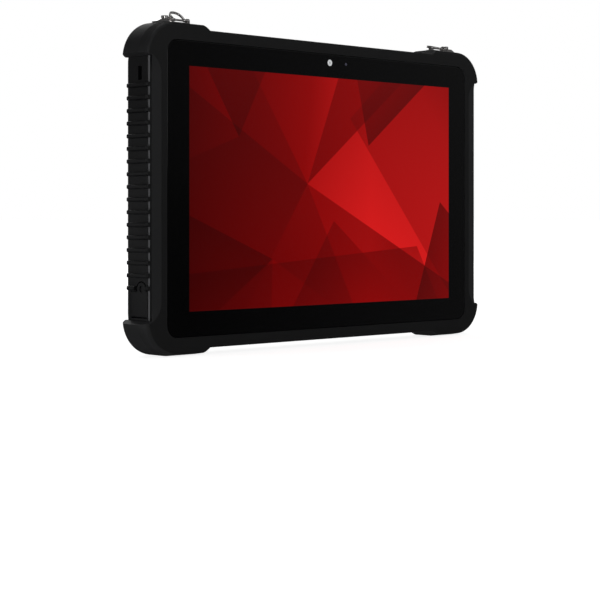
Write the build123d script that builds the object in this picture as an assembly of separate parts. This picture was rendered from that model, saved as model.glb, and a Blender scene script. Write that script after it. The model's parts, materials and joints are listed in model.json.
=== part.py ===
from build123d import *
import os
from math import atan2, degrees, sqrt

# Rugged 10.1 inch field tablet (data collector), standing on its two lower corner bumpers.
# Millimetres. +X runs right along the long side, +Y from the screen to the back, +Z up.
# The model is drawn about the middle of the body and lifted by stand_height when it is written,
# so the origin ends up under the middle of the body, on the surface that it stands on.

# ---- Body -------------------------------------------------------------------------------------
body_length = 272.0
body_height = 177.0
thickness = 22.0
body_corner_radius = 20.0
rear_set_back = 1.0            # how far the rear cover lies below the bumpers' rear lips
rear_edge_round = 2.0
front_edge_round = 1.2
frame_depth = 6.0              # front frame, from its front face to the parting line
frame_plate = 3.0              # part of that depth which carries the corner faces
frame_wall_side = 6.5
frame_wall_end = 8.5
cover_wall_side = 6.5
cover_wall_end = 3.0
cover_rear_wall = 2.2
cavity_corner_radius = 14.0

# ---- Corner bumpers ---------------------------------------------------------------------------
guard_reach_side = 3.2         # how far a bumper stands out past the short sides
guard_reach_end = 3.6          # how far it stands out past the long sides
guard_corner_radius = 20.7
guard_arm_end = 42.4           # length of its arm along the long side
guard_arm_side = 16.5          # length of its arm along the short side
guard_step_run_end = 4.2       # run of the sloped step at the end of each arm
guard_step_rise_end = 2.9
guard_step_run_side = 2.5
guard_step_rise_side = 3.8
guard_draft = 1.1              # how much smaller the bumper is at the front face
guard_draft_depth = 7.0
guard_front_round = 1.8
guard_rear_round = 2.5
guard_lip_width = 11.0         # width of the lip that lies on the rear cover

# ---- Display and front glass ------------------------------------------------------------------
active_width = 216.96
active_height = 135.6
glass_width = 248.0
glass_height = 163.4
glass_corner_radius = 7.0
glass_thickness = 1.1
glass_recess = 0.15
glass_gap = 0.25
glass_edge_round = 0.3
tape_thickness = 0.3
tape_inset = 0.6
panel_border = 6.0
panel_thickness = 3.2
panel_gap = 1.0
panel_corner_radius = 1.0
opening_corner_radius = 2.0
frame_ledge = 1.4

# ---- Front camera and light sensor ------------------------------------------------------------
camera_x = 0.6
camera_z = 76.7
camera_window_radius = 2.1
camera_module_radius = 2.75
sensor_x = 14.3
sensor_window_radius = 0.9
sensor_module_radius = 1.3
window_gap = 0.05

# ---- Sloped band on the two short sides of the front frame ------------------------------------
band_width = 5.9
band_drop = 1.3
band_straight = 124.0
band_end_radius = 12.0
rim_gap = 0.4

# ---- Grip strips ------------------------------------------------------------------------------
strip_depth = 3.4
strip_rim = 1.4
strip_rim_set_back = 1.4
strip_rear_y = 8.4
strip_end_gap = 0.2
strip_edge_round = 0.6
strip_rim_chamfer = 0.9
rib_count = 17
rib_pitch = 6.91
rib_middle_z = 0.9
rib_height = 2.4
rib_proud = 1.8
rib_front_proud = 0.6
rib_corner = 0.9
rib_round = 0.7
rib_root = 0.2                 # how far a rib's root stands clear of the rim's inner face

# ---- Marks along the long sides of the front frame --------------------------------------------
mark_count = 10
mark_pitch = 18.3
mark_width = 1.2
mark_depth = 0.5

# ---- Lock slot --------------------------------------------------------------------------------
lock_z = 62.8
lock_y = -2.0
lock_slot_width = 3.2
lock_slot_height = 7.6
lock_plate_width = 5.6
lock_plate_height = 11.0
lock_plate_thickness = 1.4

# ---- Doors over the sockets -------------------------------------------------------------------
door_thickness = 1.6
door_gap = 0.3
knuckle_radius = 0.8
hinge_pin_radius = 0.4
hinge_clearance = 0.05
hinge_pin_grip = 0.7           # how far each end of a hinge pin reaches into the strip
left_door_width = 14.2
left_door_height = 13.3
left_door_y = -1.2
left_door_axis_z = -69.6
left_tab_radius = 3.9
left_tab_y = -3.3
left_tab_rise = 1.2             # how far the tab's centre lies above the door's upper edge
left_tab_gap = 0.7               # gap round the tab, wider than the door's own
left_tab_scoop_radius = 1.8
left_tab_scoop_depth = 0.7
right_door_width = 12.6
right_door_length = 40.0
right_door_axis_y = 6.2
right_door_z = -40.0
right_door_corner = 1.5
right_door_scoop_depth = 0.7
right_door_scoop_width = 1.6
right_door_scoop_length = 10.0
seal_thickness = 0.8
seal_width = 1.1
seal_inset = 1.6

# ---- Sockets ----------------------------------------------------------------------------------
usb_c_size = (9.0, 3.3)
usb_c_length = 7.5
usb_a_size = (13.1, 5.7)
usb_a_z = -30.0
hdmi_size = (15.0, 5.8)
hdmi_z = -50.0
long_socket_length = 11.0
socket_y = 0.6
socket_wall = 0.4
socket_tongue = 0.9
socket_set_back = 0.3
socket_gap = 0.1
socket_back_wall = 1.2
socket_tongue_back = 1.5        # how far the tongue's tip lies behind the mouth
socket_tongue_share = 0.7       # tongue width against the width of the hollow
socket_round_share = 0.2        # corner radius against the shell's depth

# ---- Keys on the right-hand strip -------------------------------------------------------------
key_length = 12.0
key_width = 4.6
key_gap = 0.25
key_proud = 0.6
key_travel = 0.45
key_flange = 0.7
key_flange_reach = 0.8
key_flange_play = 0.1
key_seat_play = 0.05
key_edge_round = 0.4
key_y = 0.0
key_heights = {"power_key": 56.0, "volume_up_key": 37.0, "volume_down_key": 21.0, "function_key": 4.0}
key_board_thickness = 0.8
key_board_width = 6.0
key_pocket_depth = 2.2
key_pocket_play = 0.4
key_switch_radius = 1.5

# ---- Chassis and boards -----------------------------------------------------------------------
chassis_thickness = 1.5
chassis_play = 1.0
standoff_radius = 2.6
standoff_height = 2.0
board_width = 184.0
board_height = 62.0
board_z = 40.0
board_thickness = 1.4
board_screw_inset = 5.0
board_screw_middle = (-28.0, 44.0)
board_corner_radius = 3.0
board_screw_radius = 1.0
board_screw_head_radius = 2.0
board_screw_head = 1.0
can_height = 2.2
can_corner_radius = 1.5
can_edge_round = 0.4
can_sizes = {-52.0: (46.0, 40.0), 4.0: (50.0, 36.0), 60.0: (44.0, 42.0)}
spreader_thickness = 0.8
spreader_width = 160.0
spreader_height = 34.0
spreader_corner_radius = 2.0
flex_x = 22.0
flex_width = 30.0
flex_thickness = 0.3
flex_z = 4.0
flex_foot = 10.0
flex_slot_play = 1.0
antenna_size = 18.0
antenna_thickness = 4.0
antenna_x = -40.0
antenna_z = 66.0
antenna_corner_radius = 1.0

# ---- Housing screws and seal ------------------------------------------------------------------
screw_columns = (-86.0, -42.0, 42.0, 86.0)
screw_row_z = 82.4
screw_radius = 1.25
screw_head_radius = 2.4
screw_head = 1.4
screw_head_sink = 0.3
screw_head_round = 0.4
screw_pocket_gap = 0.3
screw_boss_radius = 3.2
screw_thread = 3.4
screw_recess_radius = 1.2
screw_recess_depth = 0.8
seal_line_inset_side = 5.5
seal_line_inset_end = 1.5
housing_seal_width = 1.2
housing_seal_depth = 1.0
housing_seal_radius = 15.5

# ---- Battery and its two latches --------------------------------------------------------------
battery_width = 168.0
battery_height = 68.0
battery_z = -40.5
battery_thickness = 7.8
battery_corner_radius = 4.0
battery_gap = 0.4
battery_case_wall = 1.2
battery_edge_round = 0.6
battery_seal_thickness = 0.25
battery_seal_width = 3.0
battery_seal_inset = 0.5
battery_seal_corner = 1.0
battery_grip_width = 60.0
battery_grip_height = 5.0
battery_grip_depth = 1.2
bay_wall = 1.3
bay_floor_gap = 0.3
contact_count = 6
contact_pitch = 3.6
contact_width = 1.2
contact_height = 5.0
contact_proud = 1.2
contact_z = -14.0
notch_play = 1.0
latch_x = 46.0
latch_width = 13.0
latch_height = 6.4
latch_travel = 5.0
latch_thickness = 1.3
latch_gap = 0.3
latch_floor_gap = 0.2
latch_edge = 1.6
latch_corner_radius = 0.8
latch_grip_count = 4
latch_grip_proud = 0.4
latch_grip_width = 1.0
latch_grip_height = 4.0

# ---- Rear camera, flash, speakers and strap inserts -------------------------------------------
rear_camera_x = -100.0
rear_camera_z = 63.0
camera_ring_radius = 9.0
camera_ring_wall = 2.4
camera_ring_proud = 0.6
camera_ring_sink = 1.2
camera_ring_round = 0.5
rear_window_thickness = 1.0
rear_window_sink = 0.4
rear_module_radius = 5.2
rear_module_length = 4.5
flash_offset = 17.0
flash_radius = 2.8
flash_sink = 0.2
speaker_x = 108.0
speaker_z = -64.0
speaker_width = 26.0
speaker_height = 15.0
speaker_thickness = 4.0
speaker_corner_radius = 2.0
speaker_edge_round = 0.6
grille_slots = 6
grille_pitch = 3.2
grille_slot_width = 1.3
grille_slot_height = 9.0
grille_slot_round = 0.55
insert_spacing_x = 200.0
insert_spacing_z = 84.0
insert_radius = 3.0
insert_bore_radius = 2.1
insert_length = 5.0
insert_boss_wall = 2.0

# ---- Dock contacts in the lower edge ----------------------------------------------------------
dock_width = 44.0
dock_depth = 7.0
dock_thickness = 2.0
dock_y = 2.0
dock_pad_count = 8
dock_pad_pitch = 4.4
dock_pad_width = 2.4
dock_pad_depth = 3.0
dock_pad_thickness = 0.5
locator_spacing = 64.0
locator_radius = 2.5
locator_depth = 2.6

# ---- Strap brackets and rings on the upper bumpers --------------------------------------------
bracket_inner_x = 101.2
bracket_width = 4.8
bracket_thickness = 0.5        # base plate under the ring
bracket_block_height = 1.8     # block under the screw
bracket_block_length = 4.6
bracket_ramp_end_x = 124.2
bracket_end_thickness = 0.9
bracket_y = -0.1
bracket_screw_x = 117.3
bracket_screw_radius = 1.25
bracket_screw_length = 6.5
bracket_head_radius = 2.15
bracket_head_height = 1.8
bracket_head_round = 0.4
inner_knuckle_radius = 1.2
outer_knuckle_radius = 1.7
ring_knuckle_length = 1.6
ring_side_gap = 0.3
ring_wire_radius = 0.7
ring_pin_radius = 0.6
ring_eye_radius = 0.9            # eyes at the ends of the ring's legs, where the pin goes through
ring_eye_length = 1.7
ring_plate_gap = 0.3
ring_width = 9.8
ring_reach = 7.0
ring_corner_radius = 3.8
ring_lean = {"left": 42.0, "right": 14.0}

# ---- Places worked out from the sizes above ---------------------------------------------------
front_y = -thickness / 2
rear_y = thickness / 2
rear_face_y = rear_y - rear_set_back
plate_y = front_y + frame_plate
parting_y = front_y + frame_depth
inner_rear_y = rear_face_y - cover_rear_wall
half_length = body_length / 2
half_height = body_height / 2
guard_length = body_length + 2 * guard_reach_side
guard_height = body_height + 2 * guard_reach_end
guard_top = guard_height / 2
stand_height = guard_height / 2
guard_draft_y = front_y + guard_draft_depth
side_half = half_height - guard_arm_side
step_x = half_length - guard_arm_end

glass_front_y = front_y + glass_recess
glass_rear_y = glass_front_y + glass_thickness
ledge_front_y = glass_rear_y + tape_thickness
ledge_rear_y = ledge_front_y + frame_ledge
panel_width = active_width + 2 * panel_border
panel_height = active_height + 2 * panel_border
panel_rear_y = glass_rear_y + panel_thickness
opening_width = panel_width + 2 * panel_gap
opening_height = panel_height + 2 * panel_gap

strip_seat_x = half_length - strip_depth
strip_front_y = front_y + strip_rim_set_back
plate_edge_x = half_length - strip_rim - rim_gap
band_inner_x = plate_edge_x - band_width

frame_cavity_length = body_length - 2 * frame_wall_side
frame_cavity_height = body_height - 2 * frame_wall_end
cover_cavity_length = body_length - 2 * cover_wall_side
cover_cavity_height = body_height - 2 * cover_wall_end
chassis_length = frame_cavity_length - 2 * chassis_play
chassis_height = frame_cavity_height - 2 * chassis_play
chassis_rear_y = panel_rear_y + chassis_thickness
board_front_y = chassis_rear_y + standoff_height
board_rear_y = board_front_y + board_thickness
can_rear_y = board_rear_y + can_height

battery_front_y = rear_face_y - battery_thickness
bay_floor_y = battery_front_y - bay_floor_gap
bay_width = battery_width + 2 * battery_gap
bay_height = battery_height + 2 * battery_gap
bay_top_z = battery_z + bay_height / 2
latch_recess_depth = latch_thickness + latch_floor_gap
latch_z = bay_top_z + latch_edge + latch_gap + latch_height / 2

knuckle_x = half_length - knuckle_radius
door_inner_x = half_length - door_thickness
left_door_top_z = left_door_axis_z + left_door_height
left_tab_z = left_door_top_z + left_tab_rise
strip_zspan = side_half - strip_end_gap

guard_corner_x = guard_length / 2 - guard_corner_radius
guard_corner_z = guard_top - guard_corner_radius
ring_axis_z = guard_top + bracket_thickness + ring_plate_gap + ring_eye_radius
ring_axis_y = bracket_y - bracket_width / 2 + inner_knuckle_radius
bracket_block_top = guard_top + bracket_block_height
bracket_screw_end_z = bracket_block_top - bracket_screw_length
ring_centre_x = bracket_inner_x + ring_knuckle_length + ring_side_gap + ring_width / 2
outer_knuckle_x = ring_centre_x + ring_width / 2 + ring_side_gap
bracket_block_x = guard_corner_x - bracket_block_length / 2


def facing_front(y):
    """Plane at depth y that faces the front; sketches on it read X to the right and Z up."""
    return Plane(origin=(0, y, 0), x_dir=(1, 0, 0), z_dir=(0, -1, 0))


def slab(width, height, y_front, y_rear, radius=0.0, at=(0.0, 0.0)):
    """Flat plate in the XZ plane between two depths, with rounded corners."""
    outline = RectangleRounded(width, height, radius) if radius else Rectangle(width, height)
    placed = facing_front(y_rear) * (Pos(at[0], at[1]) * outline)
    return extrude(placed, amount=y_rear - y_front)


def prism(points, y_front, y_rear):
    """Polygon of (x, z) points between two depths."""
    face = facing_front(y_rear) * Polygon(*points, align=None)
    return extrude(face, amount=y_rear - y_front, dir=(0, -1, 0))


def block(x_limits, y_limits, z_limits):
    """Box between pairs of limits along X, Y and Z."""
    limits = (x_limits, y_limits, z_limits)
    middle = [(low + high) / 2 for low, high in limits]
    size = [abs(high - low) for low, high in limits]
    return Pos(*middle) * Box(*size)


def rod(radius, start, end):
    """Round bar between two points."""
    run = Vector(*end) - Vector(*start)
    return extrude(Plane(origin=start, z_dir=run) * Circle(radius), amount=run.length)


def frame_ring(outer, inner, y_front, y_rear):
    """Rectangular ring; outer and inner are (width, height, radius)."""
    return slab(*outer[:2], y_front, y_rear, outer[2]) - slab(*inner[:2], y_front, y_rear, inner[2])


def both_sides(shape):
    """A shape and its mirror image across the middle of the body."""
    return shape + mirror(shape, Plane.YZ)


# ---- Outer form -------------------------------------------------------------------------------

def guard_envelope():
    """Full outline of the bumpers: drafted towards the front, straight behind, edges rounded."""
    draft_angle = degrees(atan2(guard_draft, guard_draft_depth))
    outline = RectangleRounded(guard_length, guard_height, guard_corner_radius)
    front = extrude(facing_front(guard_draft_y) * outline, amount=guard_draft_depth, taper=draft_angle)
    front = fillet(front.edges().group_by(Axis.Y)[0], guard_front_round)
    rear = slab(guard_length, guard_height, guard_draft_y, rear_y, guard_corner_radius)
    rear = fillet(rear.edges().group_by(Axis.Y)[-1], guard_rear_round)
    return front + rear


def guard_mask():
    """Area of the upper right corner that its bumper fills, with the sloped steps at both ends."""
    beyond = 10.0
    end_slope = guard_step_run_end / guard_step_rise_end
    side_slope = guard_step_run_side / guard_step_rise_side
    points = [
        (step_x, side_half),
        (step_x, half_height),
        (step_x + end_slope * beyond, half_height + beyond),
        (half_length + beyond, half_height + beyond),
        (half_length + beyond, side_half + side_slope * beyond),
        (half_length, side_half),
    ]
    return prism(points, front_y, rear_y)


def corner_guard(envelope, y_front, y_rear):
    """Upper right corner of the bumper outline between two depths."""
    layer = slab(2 * guard_length, 2 * guard_height, y_front, y_rear)
    return envelope & guard_mask() & layer


def cover_core():
    """Rear housing before it is hollowed, with its rounded rear edge."""
    core = slab(body_length, body_height, parting_y, rear_face_y, body_corner_radius)
    return fillet(core.edges().group_by(Axis.Y)[-1], rear_edge_round)


def upper_right_bumper(envelope):
    """Rubber corner: wraps the edge behind the front plate and laps onto the rear cover."""
    body = slab(body_length, body_height, plate_y, parting_y, body_corner_radius) + cover_core()
    inside = slab(guard_length - 2 * guard_lip_width, guard_height - 2 * guard_lip_width,
                  rear_face_y, rear_y, guard_corner_radius - guard_lip_width)
    return corner_guard(envelope, plate_y, rear_y) - body - inside


# ---- Front frame and display ------------------------------------------------------------------

def band_cutter():
    """Sloped band on the right short side: a wedge whose ends sweep round to the outer edge."""
    axis_x = band_inner_x + band_end_radius
    deepest = band_end_radius * band_drop / band_width
    over = 1.0
    profile = Polygon((band_inner_x, front_y), (axis_x, front_y + deepest), (axis_x, front_y - over),
                      (band_inner_x, front_y - over), align=None)
    cutter = Pos(0, 0, -band_straight / 2) * extrude(profile, amount=band_straight, dir=(0, 0, 1))
    for end_z in (-band_straight / 2, band_straight / 2):
        place = Plane(origin=(axis_x, front_y + deepest / 2, end_z), z_dir=(0, 1, 0))
        cutter += place * Cone(band_end_radius, 0, deepest)
    return cutter


def screw_places():
    """Housing screws: a row above and a row below the display."""
    return [(x, z) for z in (-screw_row_z, screw_row_z) for x in screw_columns]


def front_frame(envelope):
    """Front frame: glass seat, sloped side bands, and the faces of the four corners."""
    plate = slab(body_length, body_height, front_y, plate_y, body_corner_radius)
    plate = fillet(plate.edges().group_by(Axis.Y)[0], front_edge_round)
    corner = both_sides(corner_guard(envelope, front_y, plate_y))
    plate += corner + mirror(corner, Plane.XY)
    side_cut = block((plate_edge_x, half_length * 2), (front_y - 1, plate_y), (-side_half, side_half))
    plate -= both_sides(side_cut)
    plate -= both_sides(band_cutter())
    rim = slab(body_length, body_height, plate_y, parting_y, body_corner_radius)
    seat = block((strip_seat_x, half_length * 2), (plate_y, parting_y), (-side_half, side_half))
    frame = plate + (rim - both_sides(seat))
    frame -= slab(glass_width + 2 * glass_gap, glass_height + 2 * glass_gap, front_y, ledge_front_y,
                  glass_corner_radius + glass_gap)
    frame -= slab(opening_width, opening_height, front_y, parting_y, opening_corner_radius)
    frame -= slab(frame_cavity_length, frame_cavity_height, ledge_rear_y, parting_y,
                  cavity_corner_radius)
    for x, radius in ((camera_x, camera_module_radius), (sensor_x, sensor_module_radius)):
        frame -= rod(radius + window_gap, (x, front_y, camera_z), (x, parting_y, camera_z))
    for x, z in screw_places():
        frame -= rod(screw_radius, (x, parting_y - screw_thread, z), (x, parting_y, z))
    for index in range(mark_count):
        x = (index - (mark_count - 1) / 2) * mark_pitch
        for z in (-half_height, half_height):
            frame -= block((x - mark_width / 2, x + mark_width / 2), (front_y, plate_y),
                           (z - mark_depth, z + mark_depth))
    return frame


def cover_glass():
    """Front glass with holes for the camera and sensor windows."""
    glass = slab(glass_width, glass_height, glass_front_y, glass_rear_y, glass_corner_radius)
    glass = fillet(glass.edges().group_by(Axis.Y)[0], glass_edge_round)
    for x, radius in ((camera_x, camera_window_radius), (sensor_x, sensor_window_radius)):
        glass -= rod(radius + window_gap, (x, glass_front_y, camera_z), (x, glass_rear_y, camera_z))
    return glass


def glass_tape():
    """Adhesive seal between the glass and the frame's ledge."""
    outer = (glass_width - 2 * tape_inset, glass_height - 2 * tape_inset, glass_corner_radius)
    inner = (opening_width, opening_height, opening_corner_radius)
    tape = frame_ring(outer, inner, glass_rear_y, ledge_front_y)
    for x, radius in ((camera_x, camera_module_radius), (sensor_x, sensor_module_radius)):
        tape -= rod(radius + window_gap, (x, glass_rear_y, camera_z), (x, ledge_front_y, camera_z))
    return tape


def front_windows():
    """Lens windows in the glass and the modules behind them."""
    places = {
        "front_camera": (camera_x, camera_window_radius, camera_module_radius),
        "light_sensor": (sensor_x, sensor_window_radius, sensor_module_radius),
    }
    pieces = {}
    for name, (x, window, module) in places.items():
        pieces[name + "_window"] = rod(window, (x, glass_front_y, camera_z), (x, glass_rear_y, camera_z))
        pieces[name] = rod(module, (x, glass_rear_y, camera_z), (x, panel_rear_y, camera_z))
    return pieces


# ---- Inside -----------------------------------------------------------------------------------

def board_screw_places():
    """Standoffs near the corners and along the middle of the main board."""
    reach_x = board_width / 2 - board_screw_inset
    reach_z = board_height / 2 - board_screw_inset
    return [(x, board_z + z) for z in (-reach_z, reach_z) for x in (-reach_x, *board_screw_middle, reach_x)]


def chassis():
    """Metal plate behind the display, with standoffs for the main board."""
    plate = slab(chassis_length, chassis_height, panel_rear_y, chassis_rear_y,
                 cavity_corner_radius - chassis_play)
    for x, z in board_screw_places():
        plate += rod(standoff_radius, (x, chassis_rear_y, z), (x, board_front_y, z))
        plate -= rod(board_screw_radius, (x, panel_rear_y, z), (x, board_front_y, z))
    reach = flex_width / 2 + flex_slot_play
    plate -= block((flex_x - reach, flex_x + reach), (panel_rear_y, chassis_rear_y),
                   (flex_z - flex_slot_play, flex_z + flex_slot_play))
    return plate


def main_board():
    """Populated circuit board with holes for its screws."""
    board = slab(board_width, board_height, board_front_y, board_rear_y, board_corner_radius, (0.0, board_z))
    for x, z in board_screw_places():
        board -= rod(board_screw_radius, (x, board_front_y, z), (x, board_rear_y, z))
    return board


def board_screws():
    """Pan-head screws that hold the main board on the standoffs."""
    screws = []
    for x, z in board_screw_places():
        shank = rod(board_screw_radius, (x, chassis_rear_y, z), (x, board_rear_y, z))
        head = rod(board_screw_head_radius, (x, board_rear_y, z), (x, board_rear_y + board_screw_head, z))
        screws.append(shank + head)
    return Compound(children=screws)


def shield_cans():
    """Metal cans over the processor, memory and radio sections."""
    cans = []
    for x, (width, height) in can_sizes.items():
        can = slab(width, height, board_rear_y, can_rear_y, can_corner_radius, (x, board_z))
        cans.append(fillet(can.edges().group_by(Axis.Y)[-1], can_edge_round))
    return Compound(children=cans)


def display_flex():
    """Ribbon from the display through the chassis slot to the main board."""
    x_limits = (flex_x - flex_width / 2, flex_x + flex_width / 2)
    leg = block(x_limits, (panel_rear_y, board_rear_y + flex_thickness), (flex_z, flex_z + flex_thickness))
    foot = block(x_limits, (board_rear_y, board_rear_y + flex_thickness), (flex_z, flex_z + flex_foot))
    return leg + foot


# ---- Rear cover -------------------------------------------------------------------------------

def key_span():
    """Lowest and highest Z of the row of keys."""
    return min(key_heights.values()) - key_length / 2, max(key_heights.values()) + key_length / 2


def key_pocket():
    """Room behind the right-hand strip for the key board and its switches."""
    low, high = key_span()
    reach = key_board_width / 2 + key_pocket_play
    return block((strip_seat_x - key_pocket_depth, strip_seat_x), (key_y - reach, key_y + reach),
                 (low - key_pocket_play, high + key_pocket_play))


def insert_places():
    """Four threaded inserts for a hand strap or a mounting plate."""
    return [(x, z) for x in (-insert_spacing_x / 2, insert_spacing_x / 2)
            for z in (-insert_spacing_z / 2, insert_spacing_z / 2)]


def latch_recess(side):
    """Shallow track for one battery latch; the latch slides outward along it."""
    inner = latch_x - latch_width / 2 - latch_gap
    outer = latch_x + latch_width / 2 + latch_travel + latch_gap
    z_reach = latch_height / 2 + latch_gap
    return block((side * inner, side * outer), (rear_face_y - latch_recess_depth, rear_face_y),
                 (latch_z - z_reach, latch_z + z_reach))


def socket_holes():
    """Openings in the side walls for the three sockets."""
    holes = []
    places = [(-1, left_door_axis_z + left_door_height / 2, usb_c_size),
              (1, usb_a_z, usb_a_size), (1, hdmi_z, hdmi_size)]
    for side, z, (height, width) in places:
        x_limits = (side * (half_length - cover_wall_side - 1), side * half_length)
        y_reach = width / 2 + socket_gap
        z_reach = height / 2 + socket_gap
        holes.append(block(x_limits, (socket_y - y_reach, socket_y + y_reach), (z - z_reach, z + z_reach)))
    return holes


def rear_cover():
    """Rear housing with the battery bay, screw bosses, side seats and openings."""
    cover = cover_core()
    cover -= slab(cover_cavity_length, cover_cavity_height, parting_y, inner_rear_y, cavity_corner_radius)
    for x, z in screw_places():
        cover += rod(screw_boss_radius, (x, parting_y, z), (x, inner_rear_y, z))
    boss_radius = insert_radius + insert_boss_wall
    for x, z in insert_places():
        boss_front_y = rear_face_y - insert_length - insert_boss_wall
        cover += rod(boss_radius, (x, boss_front_y, z), (x, inner_rear_y, z))
    cover += slab(bay_width + 2 * bay_wall, bay_height + 2 * bay_wall, bay_floor_y - bay_wall,
                  inner_rear_y, battery_corner_radius + bay_wall, (0.0, battery_z))
    for side in (-1, 1):
        track = latch_recess(side)
        corner = track.bounding_box()
        cover += block((corner.min.X - bay_wall, corner.max.X + bay_wall),
                       (corner.min.Y - bay_wall, inner_rear_y),
                       (bay_top_z, corner.max.Z + bay_wall))
        cover -= track
    cover -= slab(bay_width, bay_height, bay_floor_y, rear_face_y, battery_corner_radius, (0.0, battery_z))
    for x, z in screw_places():
        cover -= rod(screw_radius, (x, parting_y, z), (x, rear_face_y, z))
        head_y = rear_face_y - screw_head - screw_head_sink
        cover -= rod(screw_head_radius + screw_pocket_gap, (x, head_y, z), (x, rear_face_y, z))
    for x, z in insert_places():
        cover -= rod(insert_radius, (x, rear_face_y - insert_length, z), (x, rear_face_y, z))
    seat = block((strip_seat_x, half_length * 2), (parting_y, strip_rear_y), (-side_half, side_half))
    cover -= both_sides(seat)
    cover -= key_pocket()
    for hole in socket_holes():
        cover -= hole
    cover -= block((-strip_seat_x, lock_plate_thickness - strip_seat_x),
                   (lock_y - lock_plate_width / 2, lock_y + lock_plate_width / 2),
                   (lock_z - lock_plate_height / 2, lock_z + lock_plate_height / 2))
    cover -= lock_slot()
    cover -= rod(camera_ring_radius, (rear_camera_x, rear_face_y - camera_ring_sink, rear_camera_z),
                 (rear_camera_x, rear_face_y, rear_camera_z))
    cover -= rod(rear_module_radius + window_gap, (rear_camera_x, inner_rear_y, rear_camera_z),
                 (rear_camera_x, rear_face_y, rear_camera_z))
    flash_x = rear_camera_x + flash_offset
    cover -= rod(flash_radius, (flash_x, inner_rear_y, rear_camera_z), (flash_x, rear_face_y, rear_camera_z))
    cover -= both_sides(grille())
    cover -= seal_ring()
    cover -= both_sides(bracket_screw_hole())
    cover -= block((-dock_width / 2, dock_width / 2), (dock_y - dock_depth / 2, dock_y + dock_depth / 2),
                   (-half_height, dock_thickness - half_height))
    for x in (-locator_spacing / 2, locator_spacing / 2):
        cover -= rod(locator_radius, (x, dock_y, -half_height), (x, dock_y, locator_depth - half_height))
    return cover


def lock_slot():
    """Slot for a security lock, through the left wall."""
    return block((-half_length, cover_wall_side - half_length),
                 (lock_y - lock_slot_width / 2, lock_y + lock_slot_width / 2),
                 (lock_z - lock_slot_height / 2, lock_z + lock_slot_height / 2))


def lock_plate():
    """Steel plate behind the left strip that a security lock grips."""
    plate = block((-strip_seat_x, lock_plate_thickness - strip_seat_x),
                  (lock_y - lock_plate_width / 2, lock_y + lock_plate_width / 2),
                  (lock_z - lock_plate_height / 2, lock_z + lock_plate_height / 2))
    return plate - lock_slot()


def seal_ring():
    """Rubber cord in the groove of the parting face."""
    length = body_length - 2 * seal_line_inset_side
    height = body_height - 2 * seal_line_inset_end
    outer = (length + housing_seal_width, height + housing_seal_width,
             housing_seal_radius + housing_seal_width / 2)
    inner = (length - housing_seal_width, height - housing_seal_width,
             housing_seal_radius - housing_seal_width / 2)
    return frame_ring(outer, inner, parting_y, parting_y + housing_seal_depth)


def housing_screws():
    """Screws that close the housing, each with a hexagonal recess."""
    screws = []
    top_y = rear_face_y - screw_head_sink
    for x, z in screw_places():
        shank = rod(screw_radius, (x, parting_y - screw_thread, z), (x, top_y - screw_head, z))
        head = rod(screw_head_radius, (x, top_y - screw_head, z), (x, top_y, z))
        head = fillet(head.edges().group_by(Axis.Y)[-1], screw_head_round)
        recess = facing_front(top_y) * (Pos(x, z) * RegularPolygon(screw_recess_radius, 6))
        screws.append(shank + head - extrude(recess, amount=screw_recess_depth))
    return Compound(children=screws)


def grille():
    """Sound slots in front of the right-hand speaker."""
    slots = []
    for index in range(grille_slots):
        x = speaker_x + (index - (grille_slots - 1) / 2) * grille_pitch
        slots.append(slab(grille_slot_width, grille_slot_height, inner_rear_y, rear_face_y,
                          grille_slot_round, (x, speaker_z)))
    return Compound(children=slots)


def speaker():
    """Right-hand speaker box against the inside of the rear wall."""
    box = slab(speaker_width, speaker_height, inner_rear_y - speaker_thickness, inner_rear_y,
               speaker_corner_radius, (speaker_x, speaker_z))
    return fillet(box.edges().group_by(Axis.Y)[0], speaker_edge_round)


def strap_inserts():
    """Brass inserts for the hand strap or mounting plate."""
    inserts = []
    for x, z in insert_places():
        bush = rod(insert_radius, (x, rear_face_y - insert_length, z), (x, rear_face_y, z))
        bush -= rod(insert_bore_radius, (x, rear_face_y - insert_length, z), (x, rear_face_y, z))
        inserts.append(bush)
    return Compound(children=inserts)


def rear_camera_pieces():
    """Ring, window, camera module and flash lens on the rear cover."""
    x, z = rear_camera_x, rear_camera_z
    ring_y = (rear_face_y - camera_ring_sink, rear_face_y + camera_ring_proud)
    ring = rod(camera_ring_radius, (x, ring_y[0], z), (x, ring_y[1], z))
    ring = fillet(ring.edges().group_by(Axis.Y)[-1], camera_ring_round)
    window_radius = camera_ring_radius - camera_ring_wall
    ring -= rod(window_radius, (x, ring_y[0], z), (x, ring_y[1], z))
    window_rear = ring_y[1] - rear_window_sink
    window = rod(window_radius, (x, window_rear - rear_window_thickness, z), (x, window_rear, z))
    module_rear = rear_face_y - camera_ring_sink
    module = rod(rear_module_radius, (x, module_rear - rear_module_length, z), (x, module_rear, z))
    flash_x = x + flash_offset
    flash = rod(flash_radius, (flash_x, inner_rear_y, z), (flash_x, rear_face_y - flash_sink, z))
    return {"rear_camera_ring": ring, "rear_camera_window": window, "rear_camera": module,
            "flash_lens": flash}


def dock_plate():
    """Insulating block of the dock connector, flush with the lower edge."""
    return block((-dock_width / 2, dock_width / 2), (dock_y - dock_depth / 2, dock_y + dock_depth / 2),
                 (-half_height, dock_thickness - half_height)) - dock_pads()


def dock_pads():
    """Gold contact pads set in the dock block."""
    pads = []
    for index in range(dock_pad_count):
        x = (index - (dock_pad_count - 1) / 2) * dock_pad_pitch
        pads.append(block((x - dock_pad_width / 2, x + dock_pad_width / 2),
                          (dock_y - dock_pad_depth / 2, dock_y + dock_pad_depth / 2),
                          (-half_height, dock_pad_thickness - half_height)))
    return Compound(children=pads)


# ---- Battery ----------------------------------------------------------------------------------

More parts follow.
